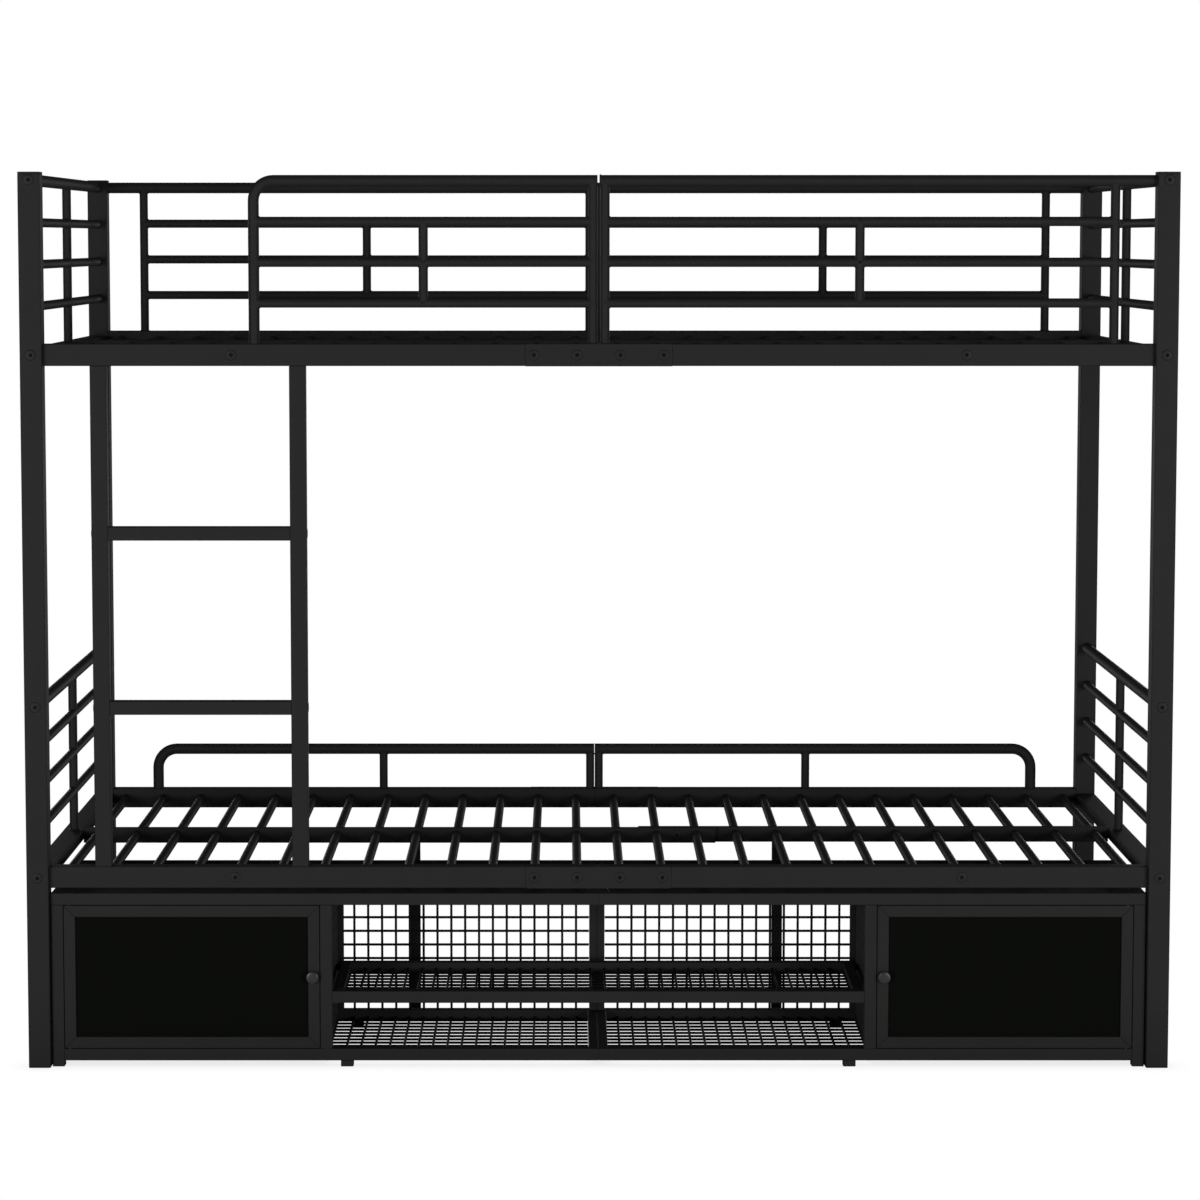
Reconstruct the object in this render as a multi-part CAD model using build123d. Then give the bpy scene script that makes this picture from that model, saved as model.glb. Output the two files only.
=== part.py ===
"""A metal bunk bed with a ladder and a storage unit under the lower bed.

Millimetres. The origin is on the floor under the middle of the bed, X runs along its length,
Z is up and the side with the ladder and the cabinet doors faces -Y.
"""
from build123d import *
import math
import os

# The whole bed
BED_LENGTH = 2085.0
BED_DEPTH = 988.0
BED_HEIGHT = 1632.0
TUBE_WALL = 1.2

# Corner posts, with a moulded cap in the top and a moulded foot in the bottom
POST_WIDTH = 40.0
CAP_FLANGE = 4.0
CAP_PLUG = 18.0
FOOT_FLANGE = 3.0
FOOT_PLUG = 15.0
PLUG_WALL = 2.5
PLUG_CLEARANCE = 0.15

# The two bed frames, placed by the height of their slats
LOWER_DECK = 351.0
SIDE_RAIL_HEIGHT = 40.0
SIDE_RAIL_THICKNESS = 27.5
END_RAIL_WIDTH = 40.0
END_RAIL_HEIGHT = 20.0

# Plates that bridge the seam in the middle of each side rail
JOINT_PLATE_BEYOND_BOLT = 16.0
JOINT_PLATE_HEIGHT = 40.5
JOINT_PLATE_THICKNESS = 1.6

# Slats, drawn with a few flat sides because there are so many of them
SLATS_PER_HALF = 13
SLAT_DIAMETER = 17.0
SLAT_END_DISTANCE = 27.5
SLAT_SIDES = 8

# The lapped centre beam of each bed and the legs under the lower one
BEAM_HEIGHT = 30.0
BEAM_THICKNESS = 12.0
BEAM_DROP = 0.75
BEAM_LAP_START = 82.0
BEAM_LAP_END = 233.0
LEG_WIDTH = 20.0
LEG_DISTANCE = 354.5

# Round tubes of the end frames and guards, whose flat sides face along the axes
ROD_SIDES = 12
BAR_DIAMETER = 17.0
BAR_ROWS = 3
END_TOP_DIAMETER = 22.0
END_TOP_RISE = 314.0
END_TOP_BELOW_POST = 14.5
END_BAR_PITCH = 76.0

# Guards of the upper bed, whose end uprights are placed from the posts
GUARD_TOP_RISE = 313.0
GUARD_SEAM = 5.0
WAY_IN_WIDTH = 370.5
FRONT_TOP_DIAMETER = 20.0
FRONT_HOOP_BEND = 36.0
FRONT_END_FROM_POST = 73.0
BACK_TOP_DIAMETER = 22.0
BACK_END_FROM_POST = 74.2

# The low guard behind the lower bed
LOW_GUARD_RISE = 102.0
LOW_GUARD_DIAMETER = 22.0
LOW_GUARD_FROM_POST = 93.1
LOW_GUARD_BEND = 39.0
LOW_GUARD_SEAM = 1.0

# Ladder, between the lower and the upper front rail
LADDER_FROM_POST = 84.0
LADDER_RAIL_SPACING = 359.5
LADDER_RAIL_WIDTH = 30.0
LADDER_DEPTH = 25.0
RUNGS = 2
RUNG_HEIGHT = 25.0
RUNG_PITCH = 318.0
FIRST_RUNG_RISE = 311.0

# Storage unit: a frame of square tube in two halves
STORE_TUBE = 22.0
STORE_DEPTH = 355.0
STORE_TOP = 321.5
STORE_GROUND_GAP = 11.0
STORE_POST_GAP = 2.0
STORE_SEAM = 1.0
BAY_HALF_WIDTH = 487.2
MIDDLE_RAIL_WIDTH = 17.5
MIDDLE_UPRIGHT_WIDTH = 14.7
STUB_WIDTH = 23.0
STUB_DISTANCE = 460.5
PANEL_THICKNESS = 3.0

# Shelf in the open bay
SHELF_TOP = 140.0
SHELF_DEPTH = 284.5
SHELF_SIDE_WIDTH = 20.0
SHELF_SPACER_DIAMETER = 12.0
SHELF_SPACER_SETBACK = 11.0

# Welded wire mesh of the open bay
WIRE = 4.0
MESH_PITCH_ALONG = 26.65
MESH_PITCH_UP = 26.57
MESH_PITCH_DEEP = 27.5
MESH_FIRST_ROW_UP = 19.2
SHELF_MESH_BELOW_TOP = 10.0
FLOOR_MESH_TOP = 20.7

# Cabinet doors, each turning on two pins beside its outer edge
DOOR_GAP = 1.0
DOOR_THICKNESS = 16.0
DOOR_FRAME_WIDTH = 21.0
DOOR_EDGE_RADIUS = 2.0
DOOR_PANEL_THICKNESS = 3.0
DOOR_PANEL_INSET = 4.0
HINGE_FROM_EDGE = 9.0
HINGE_FROM_FACE = 5.0
PIN_DIAMETER = 5.0
PIN_CLEARANCE = 0.05
PIN_IN_DOOR = 14.0
PIN_IN_RAIL = 6.0
DRILL_OVERRUN = 0.6
KNOB_DIAMETER = 23.5
KNOB_STEM_DIAMETER = 11.0
KNOB_PROUD = 12.0
KNOB_CHAMFER = 2.0
KNOB_HEAD_THICKNESS = 7.0
KNOB_SIDES = 24
KNOB_FROM_EDGE = 12.7
KNOB_HEIGHT = 167.0

# Low round bolt heads
BOLT_HEAD_DIAMETER = 18.0
BOLT_HEAD_HEIGHT = 1.2
BOLT_SIDES = 8
JOINT_BOLT_SLATS = (0, 1)
RAIL_BOLT_PITCHES = 8.5
STORE_BOLT_DIAMETER = 12.0
STORE_WASHER_HEIGHTS = (80.0, 240.0)

# Places that follow from the sizes above
POST_X = (BED_LENGTH - POST_WIDTH) / 2
POST_Y = (BED_DEPTH - POST_WIDTH) / 2
INNER_X = POST_X - POST_WIDTH / 2
INNER_Y = POST_Y - POST_WIDTH / 2
UPPER_DECK = BED_HEIGHT - END_TOP_BELOW_POST - END_TOP_RISE
DECKS = {"lower": LOWER_DECK, "upper": UPPER_DECK}
SIDES = {"left": -1, "right": 1}
FACES = {"front": -1, "back": 1}
CORNERS = [(side, face) for side in SIDES.values() for face in FACES.values()]
RAIL_FACE_Y = INNER_Y + SIDE_RAIL_THICKNESS
RAIL_AXIS_Y = INNER_Y + SIDE_RAIL_THICKNESS / 2
SLAT_PITCH = (INNER_X - SLAT_END_DISTANCE) / (SLATS_PER_HALF - 0.5)
SLAT_DISTANCES = [SLAT_PITCH * (place + 0.5) for place in range(SLATS_PER_HALF)]

GUARD_BASE = UPPER_DECK + SIDE_RAIL_HEIGHT / 2
GUARD_TOP = UPPER_DECK + GUARD_TOP_RISE
GUARD_BAR_PITCH = (GUARD_TOP - GUARD_BASE) / (BAR_ROWS + 1)
GUARD_BARS = [GUARD_BASE + GUARD_BAR_PITCH * (row + 1) for row in range(BAR_ROWS)]
SEAM_UPRIGHT = (GUARD_SEAM + BAR_DIAMETER) / 2
FRONT_HOOP = INNER_X - WAY_IN_WIDTH - FRONT_TOP_DIAMETER / 2
LOW_GUARD_END = INNER_X - LOW_GUARD_FROM_POST
LOW_GUARD_UPRIGHT = (LOW_GUARD_SEAM + BAR_DIAMETER) / 2
LADDER_OUTER = INNER_X - LADDER_FROM_POST - LADDER_RAIL_WIDTH / 2
LADDER_INNER = LADDER_OUTER - LADDER_RAIL_SPACING
LADDER_Y = (-RAIL_FACE_Y, -RAIL_FACE_Y + LADDER_DEPTH)
RUNG_LEVELS = [LOWER_DECK + FIRST_RUNG_RISE + RUNG_PITCH * place for place in range(RUNGS)]

STORE_FRONT = -RAIL_FACE_Y
STORE_BACK = STORE_FRONT + STORE_DEPTH
STORE_END = INNER_X - STORE_POST_GAP
STORE_INNER_END = STORE_END - STORE_TUBE
FRONT_TUBE_Y = (STORE_FRONT, STORE_FRONT + STORE_TUBE)
BACK_TUBE_Y = (STORE_BACK - STORE_TUBE, STORE_BACK)
BETWEEN_Y = (FRONT_TUBE_Y[1], BACK_TUBE_Y[0])
TOP_TUBE_Z = (STORE_TOP - STORE_TUBE, STORE_TOP)
BASE_TUBE_Z = (STORE_GROUND_GAP, STORE_GROUND_GAP + STORE_TUBE)
BETWEEN_Z = (BASE_TUBE_Z[1], TOP_TUBE_Z[0])
BAY_UPRIGHT_OUTER = BAY_HALF_WIDTH + STORE_TUBE
PARTITION = BAY_HALF_WIDTH + STORE_TUBE / 2
PARTITION_INNER = PARTITION - PANEL_THICKNESS / 2
SEAM_FACE = STORE_SEAM / 2
MIDDLE_RAIL_FACE = SEAM_FACE + MIDDLE_RAIL_WIDTH
DOOR_OUTER = STORE_INNER_END - DOOR_GAP
DOOR_INNER = BAY_UPRIGHT_OUTER + DOOR_GAP
DOOR_Z = (BETWEEN_Z[0] + DOOR_GAP, BETWEEN_Z[1] - DOOR_GAP)
DOOR_Y = (STORE_FRONT, STORE_FRONT + DOOR_THICKNESS)
PIN_HOLE_RADIUS = PIN_DIAMETER / 2 + PIN_CLEARANCE
HINGE_X = DOOR_OUTER - HINGE_FROM_EDGE
HINGE_Y = STORE_FRONT + HINGE_FROM_FACE


def span(side, near, far):
    """The limits, low first, of a stretch measured outwards from the middle on one side."""
    return tuple(sorted((side * near, side * far)))


def block(x, y, z):
    """A solid bar or sheet between two limits on each axis."""
    size = [high - low for low, high in (x, y, z)]
    centre = [(high + low) / 2 for low, high in (x, y, z)]
    return Pos(*centre) * Box(*size)


def tube(x, y, z, along, wall=TUBE_WALL):
    """A flat-sided tube between two limits on each axis, open at both ends along one of them."""
    limits = {"x": x, "y": y, "z": z}
    bore = {
        axis: (low, high) if axis == along else (low + wall, high - wall)
        for axis, (low, high) in limits.items()
    }
    return block(**limits) - block(**bore)


def round_profile(plane, diameter, sides):
    """The outline of a round bar: a regular polygon as wide across its flats as the bar is thick."""
    corner_radius = diameter / 2 / math.cos(math.pi / sides)
    return plane * RegularPolygon(corner_radius, sides, rotation=180 / sides)


def cross_plane(origin, direction):
    """The plane square to a bar, turned so that the bar's flats face along the axes."""
    along = Vector(*direction).normalized()
    x_dir = (0, 1, 0) if abs(along.X) > 0.5 else (1, 0, 0)
    return Plane(origin=origin, x_dir=x_dir, z_dir=along)


def rod(start, end, diameter, sides=ROD_SIDES):
    """A straight round bar between two points."""
    run = Vector(*end) - Vector(*start)
    return extrude(round_profile(cross_plane(start, run), diameter, sides), run.length)


def bent_rod(route, bend, diameter):
    """A round bar along straight runs, with one bend radius at every corner of its route."""
    first_run = Vector(*route[1]) - Vector(*route[0])
    path = FilletPolyline(*route, radius=bend)
    return sweep(round_profile(cross_plane(route[0], first_run), diameter, ROD_SIDES), path)


def upright(x, y, low, high):
    """An upright bar of an end frame or guard."""
    return rod((x, y, low), (x, y, high), BAR_DIAMETER)


def bolt_head(seat, direction, diameter=BOLT_HEAD_DIAMETER, height=BOLT_HEAD_HEIGHT):
    """A low bolt head on a face, standing out along a direction."""
    crown = Vector(*seat) + Vector(*direction) * height
    return rod(seat, tuple(crown), diameter, BOLT_SIDES)


def steps(start, stop, pitch, margin):
    """Places from start onwards at one pitch, as far as a margin short of stop."""
    count = math.floor((stop - margin - start) / pitch) + 1
    return [start + pitch * place for place in range(count)]


def save(node, *shapes):
    """Write the separate solids of one named piece."""
    solids = [solid for shape in shapes for solid in shape.solids()]
    export_step(Compound(children=solids), f"parts/{node}.step")


def post(side, face):
    x = span(side, INNER_X, INNER_X + POST_WIDTH)
    y = span(face, INNER_Y, INNER_Y + POST_WIDTH)
    return tube(x, y, (FOOT_FLANGE, BED_HEIGHT - CAP_FLANGE), "z")


def post_plug(side, face, flange_z, plug_z):
    """A moulded end piece: a flange as wide as the post and a hollow plug that fits inside it."""
    reach = POST_WIDTH / 2
    inside = reach - TUBE_WALL - PLUG_CLEARANCE
    x, y = side * POST_X, face * POST_Y
    flange = block((x - reach, x + reach), (y - reach, y + reach), flange_z)
    plug = tube((x - inside, x + inside), (y - inside, y + inside), plug_z, "z", PLUG_WALL)
    return flange + plug


def post_cap(side, face):
    top = BED_HEIGHT - CAP_FLANGE
    return post_plug(side, face, (top, BED_HEIGHT), (top - CAP_PLUG, top))


def post_foot(side, face):
    return post_plug(side, face, (0, FOOT_FLANGE), (FOOT_FLANGE, FOOT_FLANGE + FOOT_PLUG))


def end_frame(side, deck):
    """The rail, bars and top tube that join the two posts at one end, with a centre upright."""
    x = side * POST_X
    rail_top = deck + END_RAIL_HEIGHT / 2
    rail_x = (x - END_RAIL_WIDTH / 2, x + END_RAIL_WIDTH / 2)
    rail = tube(rail_x, (-INNER_Y, INNER_Y), (deck - END_RAIL_HEIGHT / 2, rail_top), "y")
    bar_heights = [rail_top + END_BAR_PITCH * (row + 1) for row in range(BAR_ROWS)]
    bars = [rod((x, -INNER_Y, z), (x, INNER_Y, z), BAR_DIAMETER) for z in bar_heights]
    top_z = deck + END_TOP_RISE
    top = rod((x, -INNER_Y, top_z), (x, INNER_Y, top_z), END_TOP_DIAMETER)
    middle = upright(x, 0, rail_top, top_z).cut(*bars, top)
    return [rail, *bars, top, middle]


def side_rail(side, face, deck):
    y = span(face, INNER_Y, RAIL_FACE_Y)
    z = (deck - SIDE_RAIL_HEIGHT / 2, deck + SIDE_RAIL_HEIGHT / 2)
    return tube(span(side, 0, INNER_X), y, z, "x")


def joint_plate(face, deck):
    reach = SLAT_DISTANCES[JOINT_BOLT_SLATS[-1]] + JOINT_PLATE_BEYOND_BOLT
    y = span(face, RAIL_FACE_Y, RAIL_FACE_Y + JOINT_PLATE_THICKNESS)
    top = deck + SIDE_RAIL_HEIGHT / 2
    return block((-reach, reach), y, (top - JOINT_PLATE_HEIGHT, top))


def slats(side, deck):
    """The slats of one half, each cut in two by the centre beam."""
    pieces = []
    for distance in SLAT_DISTANCES:
        x = side * distance
        beside_left_beam = x < BEAM_LAP_END
        beside_right_beam = x > BEAM_LAP_START
        front_end = -BEAM_THICKNESS if beside_left_beam else 0
        back_end = BEAM_THICKNESS if beside_right_beam else 0
        pieces.append(rod((x, -INNER_Y, deck), (x, front_end, deck), SLAT_DIAMETER, SLAT_SIDES))
        pieces.append(rod((x, back_end, deck), (x, INNER_Y, deck), SLAT_DIAMETER, SLAT_SIDES))
    return pieces


def centre_beam(side, deck):
    """Half of the beam under the mattress: the two halves lap side by side and are bolted there."""
    end = POST_X - END_RAIL_WIDTH / 2
    x = (-end, BEAM_LAP_END) if side < 0 else (BEAM_LAP_START, end)
    middle = deck - BEAM_DROP
    z = (middle - BEAM_HEIGHT / 2, middle + BEAM_HEIGHT / 2)
    return tube(x, span(side, 0, BEAM_THICKNESS), z, "x")


def support_leg(side):
    """A leg from the floor to the underside of the lower centre beam."""
    x = side * LEG_DISTANCE
    y = side * BEAM_THICKNESS / 2
    top = LOWER_DECK - BEAM_DROP - BEAM_HEIGHT / 2
    half = LEG_WIDTH / 2
    return tube((x - half, x + half), (y - half, y + half), (0, top), "z")


def guard_panel(side, face, top_tube, end_upright, end_distance):
    """The bars of half a guard with their seam and middle uprights, cut to saddle on each other."""
    y = face * RAIL_AXIS_Y
    seam_x = side * SEAM_UPRIGHT
    end_x = side * end_distance
    seam_upright = upright(seam_x, y, GUARD_BASE, GUARD_TOP).cut(top_tube)
    bars = [
        rod((seam_x, y, z), (end_x, y, z), BAR_DIAMETER).cut(seam_upright, end_upright)
        for z in GUARD_BARS
    ]
    middle = upright((seam_x + end_x) / 2, y, GUARD_BARS[0], GUARD_BARS[-1]).cut(*bars)
    return [seam_upright, *bars, middle]


def straight_guard(side, face, top_diameter, end_from_post):
    """Half of an upper guard that runs from the seam to the post."""
    y = face * RAIL_AXIS_Y
    end_distance = INNER_X - end_from_post
    near, far = side * GUARD_SEAM / 2, side * INNER_X
    top = rod((near, y, GUARD_TOP), (far, y, GUARD_TOP), top_diameter)
    end = upright(side * end_distance, y, GUARD_BASE, GUARD_TOP).cut(top)
    return [top, end, *guard_panel(side, face, top, end, end_distance)]


def hooped_guard(side):
    """The half of the front guard that bends down beside the way in from the ladder."""
    y = -RAIL_AXIS_Y
    end_x = side * FRONT_HOOP
    route = [(end_x, y, GUARD_BASE), (end_x, y, GUARD_TOP), (side * GUARD_SEAM / 2, y, GUARD_TOP)]
    hoop = bent_rod(route, FRONT_HOOP_BEND, FRONT_TOP_DIAMETER)
    return [hoop, *guard_panel(side, FACES["front"], hoop, hoop, FRONT_HOOP)]


def low_guard(side):
    """Half of the low guard behind the lower bed: one bent tube with two short uprights."""
    y = RAIL_AXIS_Y
    base = LOWER_DECK + SIDE_RAIL_HEIGHT / 2
    top_z = LOWER_DECK + LOW_GUARD_RISE
    end_x = side * LOW_GUARD_END
    route = [(end_x, y, base), (end_x, y, top_z), (side * LOW_GUARD_SEAM / 2, y, top_z)]
    hoop = bent_rod(route, LOW_GUARD_BEND, LOW_GUARD_DIAMETER)
    straight_end = LOW_GUARD_END - LOW_GUARD_BEND
    distances = (LOW_GUARD_UPRIGHT, (LOW_GUARD_UPRIGHT + straight_end) / 2)
    return [hoop, *[upright(side * distance, y, base, top_z).cut(hoop) for distance in distances]]


def ladder_rail(distance):
    x = (-distance - LADDER_RAIL_WIDTH / 2, -distance + LADDER_RAIL_WIDTH / 2)
    return tube(x, LADDER_Y, (LOWER_DECK + SIDE_RAIL_HEIGHT / 2, UPPER_DECK - SIDE_RAIL_HEIGHT / 2), "z")


def ladder_rung(level):
    x = (-LADDER_OUTER + LADDER_RAIL_WIDTH / 2, -LADDER_INNER - LADDER_RAIL_WIDTH / 2)
    return tube(x, LADDER_Y, (level - RUNG_HEIGHT / 2, level + RUNG_HEIGHT / 2), "x")


def storage_frame(side):
    """One half of the storage unit's welded frame, open on its inner end."""
    outer_x = span(side, STORE_INNER_END, STORE_END)
    bay_x = span(side, BAY_HALF_WIDTH, BAY_UPRIGHT_OUTER)
    half = STUB_WIDTH / 2
    stub_x = span(side, STUB_DISTANCE - half, STUB_DISTANCE + half)
    pieces = []
    for y in (FRONT_TUBE_Y, BACK_TUBE_Y):
        pieces.append(tube(span(side, SEAM_FACE, STORE_END), y, TOP_TUBE_Z, "x"))
        pieces.append(tube(span(side, SEAM_FACE, STORE_INNER_END), y, BASE_TUBE_Z, "x"))
        pieces.append(tube(outer_x, y, (0, TOP_TUBE_Z[0]), "z"))
        pieces.append(tube(bay_x, y, BETWEEN_Z, "z"))
        pieces.append(tube(stub_x, y, (0, BASE_TUBE_Z[0]), "z"))
    for z in (TOP_TUBE_Z, BASE_TUBE_Z):
        pieces.append(tube(outer_x, BETWEEN_Y, z, "y"))
        pieces.append(tube(span(side, SEAM_FACE, MIDDLE_RAIL_FACE), BETWEEN_Y, z, "y"))
    middle_x = span(side, SEAM_FACE, SEAM_FACE + MIDDLE_UPRIGHT_WIDTH)
    pieces.append(tube(middle_x, BACK_TUBE_Y, BETWEEN_Z, "z"))
    hinge_holes = [hinge_hole(side, TOP_TUBE_Z[0]), hinge_hole(side, BASE_TUBE_Z[1])]
    return [piece.cut(*hinge_holes) for piece in pieces]


def hinge_hole(side, height):
    """The clearance hole for a hinge pin, through the wall of the rail whose face is at a height."""
    depth = TUBE_WALL + DRILL_OVERRUN
    return Pos(side * HINGE_X, HINGE_Y, height) * Cylinder(PIN_HOLE_RADIUS, 2 * depth)


def top_panel(side):
    x = span(side, MIDDLE_RAIL_FACE, STORE_INNER_END)
    return block(x, BETWEEN_Y, (STORE_TOP - PANEL_THICKNESS, STORE_TOP))


def cabinet_panels(side):
    """The floor, back, outer side and bay partition of one cabinet."""
    half = PANEL_THICKNESS / 2
    partition_x = span(side, PARTITION_INNER, PARTITION_INNER + PANEL_THICKNESS)
    floor_x = span(side, PARTITION_INNER + PANEL_THICKNESS, STORE_INNER_END)
    floor_z = (BASE_TUBE_Z[0], BASE_TUBE_Z[0] + PANEL_THICKNESS)
    back_y = (STORE_BACK - STORE_TUBE / 2 - half, STORE_BACK - STORE_TUBE / 2 + half)
    end_x = STORE_END - STORE_TUBE / 2
    return [
        block(partition_x, BETWEEN_Y, (BASE_TUBE_Z[0], STORE_TOP - PANEL_THICKNESS)),
        block(floor_x, BETWEEN_Y, floor_z),
        block(span(side, BAY_UPRIGHT_OUTER, STORE_INNER_END), back_y, BETWEEN_Z),
        block(span(side, end_x - half, end_x + half), BETWEEN_Y, BETWEEN_Z),
    ]


def first_wire(inner):
    """The first wire beyond a distance, where wires lie at odd half pitches from the middle."""
    passed = math.floor(inner / MESH_PITCH_ALONG + 0.5)
    return MESH_PITCH_ALONG * (passed + 0.5)


def back_mesh(side):
    """Upright wires in front of cross wires, between the posts of one half of the bay."""
    inner = SEAM_FACE + MIDDLE_UPRIGHT_WIDTH
    middle_y = STORE_BACK - STORE_TUBE / 2
    pieces = []
    for x in steps(first_wire(inner), BAY_HALF_WIDTH, MESH_PITCH_ALONG, WIRE):
        wire_x = span(side, x - WIRE / 2, x + WIRE / 2)
        pieces.append(block(wire_x, (middle_y - WIRE, middle_y), BETWEEN_Z))
    for z in steps(BETWEEN_Z[0] + MESH_FIRST_ROW_UP, BETWEEN_Z[1], MESH_PITCH_UP, WIRE):
        wire_z = (z - WIRE / 2, z + WIRE / 2)
        pieces.append(block(span(side, inner, BAY_HALF_WIDTH), (middle_y, middle_y + WIRE), wire_z))
    return pieces


def flat_mesh(x, y, top, columns):
    """Wires from front to back on top of wires from end to end."""
    pieces = []
    for column in columns:
        wire_x = (column - WIRE / 2, column + WIRE / 2)
        pieces.append(block(wire_x, y, (top - WIRE, top)))
    for row in steps(y[0] + MESH_PITCH_DEEP, y[1], MESH_PITCH_DEEP, WIRE):
        wire_y = (row - WIRE / 2, row + WIRE / 2)
        pieces.append(block(x, wire_y, (top - 2 * WIRE, top - WIRE)))
    return pieces


def floor_mesh(side):
    first = first_wire(MIDDLE_RAIL_FACE)
    columns = [side * x for x in steps(first, PARTITION_INNER, MESH_PITCH_ALONG, WIRE)]
    x = span(side, MIDDLE_RAIL_FACE, PARTITION_INNER)
    return flat_mesh(x, BETWEEN_Y, FLOOR_MESH_TOP, columns)


def shelf_frame():
    """The shelf's four tubes: long ones at the front and back, short ones between them."""
    z = (SHELF_TOP - STORE_TUBE, SHELF_TOP)
    back = STORE_FRONT + SHELF_DEPTH
    long_x = (-BAY_HALF_WIDTH, BAY_HALF_WIDTH)
    pieces = [tube(long_x, FRONT_TUBE_Y, z, "x"), tube(long_x, (back - STORE_TUBE, back), z, "x")]
    for side in SIDES.values():
        x = span(side, BAY_HALF_WIDTH - SHELF_SIDE_WIDTH, BAY_HALF_WIDTH)
        pieces.append(tube(x, (FRONT_TUBE_Y[1], back - STORE_TUBE), z, "y"))
    return pieces


def shelf_mesh():
    reach = BAY_HALF_WIDTH - SHELF_SIDE_WIDTH
    y = (FRONT_TUBE_Y[1], STORE_FRONT + SHELF_DEPTH - STORE_TUBE)
    half = steps(MESH_PITCH_ALONG / 2, reach, MESH_PITCH_ALONG, WIRE)
    columns = [side * x for side in SIDES.values() for x in half]
    return flat_mesh((-reach, reach), y, SHELF_TOP - SHELF_MESH_BELOW_TOP, columns)


def shelf_spacer(side):
    """A bush that holds the back of the shelf off the partition."""
    y = STORE_FRONT + SHELF_DEPTH - SHELF_SPACER_SETBACK
    z = SHELF_TOP - STORE_TUBE / 2
    start = (side * BAY_HALF_WIDTH, y, z)
    return rod(start, (side * PARTITION_INNER, y, z), SHELF_SPACER_DIAMETER)


def door_frame(side):
    """Four mitred bars, bored for the hinge pins and rounded beside the hinge to clear the post."""
    x = span(side, DOOR_INNER, DOOR_OUTER)
    opening = door_opening(side)
    whole = block(x, DOOR_Y, DOOR_Z)
    hinge_edge = whole.edges().filter_by(Axis.Z).sort_by(Axis.Y)[:2].sort_by(Axis.X)
    whole = fillet(hinge_edge[0] if side < 0 else hinge_edge[-1], DOOR_EDGE_RADIUS)
    whole -= block(opening[0], DOOR_Y, opening[1])
    for height in DOOR_Z:
        whole -= Pos(side * HINGE_X, HINGE_Y, height) * Cylinder(PIN_HOLE_RADIUS, 2 * PIN_IN_DOOR)
    return [whole & wedge for wedge in mitre_wedges(x)]


def door_opening(side):
    """The limits along X and Z of the space inside a door's frame."""
    x = span(side, DOOR_INNER + DOOR_FRAME_WIDTH, DOOR_OUTER - DOOR_FRAME_WIDTH)
    return x, (DOOR_Z[0] + DOOR_FRAME_WIDTH, DOOR_Z[1] - DOOR_FRAME_WIDTH)


def mitre_wedges(x):
    """Four blocks that share out a door along the diagonals of its corners."""
    reach = (DOOR_Z[1] - DOOR_Z[0]) / 2
    middle = (DOOR_Z[0] + DOOR_Z[1]) / 2
    left, right = x
    low, high = DOOR_Z
    outlines = [
        [(left, low), (left + reach, middle), (left, high)],
        [(right, low), (right - reach, middle), (right, high)],
        [(left, high), (left + reach, middle), (right - reach, middle), (right, high)],
        [(left, low), (left + reach, middle), (right - reach, middle), (right, low)],
    ]
    plane = Plane(origin=(0, DOOR_Y[0], 0), x_dir=(1, 0, 0), z_dir=(0, -1, 0))
    depth = -DOOR_THICKNESS
    return [extrude(plane * make_face(Polyline(*points, close=True)), depth) for points in outlines]


def door_panel(side):
    x, z = door_opening(side)
    front = DOOR_Y[0] + DOOR_PANEL_INSET
    return block(x, (front, front + DOOR_PANEL_THICKNESS), z)


def door_knob(side):
    """A knob with a bevelled head on a short stem, screwed to the door beside its free edge."""
    x = side * (DOOR_INNER + KNOB_FROM_EDGE)
    face, front = DOOR_Y[0], DOOR_Y[0] - KNOB_PROUD
    back = front + KNOB_HEAD_THICKNESS
    head = rod((x, back, KNOB_HEIGHT), (x, front, KNOB_HEIGHT), KNOB_DIAMETER, KNOB_SIDES)
    head = chamfer(head.faces().sort_by(Axis.Y)[0].edges(), KNOB_CHAMFER)
    stem = rod((x, face, KNOB_HEIGHT), (x, back, KNOB_HEIGHT), KNOB_STEM_DIAMETER)
    return head + stem


def hinge_pins(side):
    """A pin in the rail above the door and one in the rail below it."""
    pins = []
    for edge, direction in ((DOOR_Z[1], 1), (DOOR_Z[0], -1)):
        inside = edge - direction * (PIN_IN_DOOR - DOOR_GAP)
        outside = edge + direction * (DOOR_GAP + TUBE_WALL + PIN_IN_RAIL)
        middle = (inside + outside) / 2
        length = abs(outside - inside)
        pins.append(Pos(side * HINGE_X, HINGE_Y, middle) * Cylinder(PIN_DIAMETER / 2, length))
    return pins


def post_bolts():
    """Heads on the front and back of the posts for the end frames, and on their ends for the rails."""
    heads = []
    for side in SIDES.values():
        for face in FACES.values():
            for deck in DECKS.values():
                for z in (deck, deck + END_TOP_RISE):
                    heads.append(bolt_head((side * POST_X, face * BED_DEPTH / 2, z), (0, face, 0)))
                seat = (side * BED_LENGTH / 2, face * RAIL_AXIS_Y, deck)
                heads.append(bolt_head(seat, (side, 0, 0)))
    return heads


def rail_bolts():
    """Heads along the side rails, four on each joint plate, and one through each beam's lap."""
    heads = []
    plate_face = RAIL_FACE_Y + JOINT_PLATE_THICKNESS
    for deck in DECKS.values():
        for face in FACES.values():
            for side in SIDES.values():
                for slat in JOINT_BOLT_SLATS:
                    x = side * SLAT_DISTANCES[slat]
                    heads.append(bolt_head((x, face * plate_face, deck), (0, face, 0)))
                x = side * SLAT_PITCH * RAIL_BOLT_PITCHES
                heads.append(bolt_head((x, face * RAIL_FACE_Y, deck), (0, face, 0)))
            lap = (BEAM_LAP_START + BEAM_LAP_END) / 2
            heads.append(bolt_head((lap, face * BEAM_THICKNESS, deck - BEAM_DROP), (0, face, 0)))
    return heads


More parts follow.
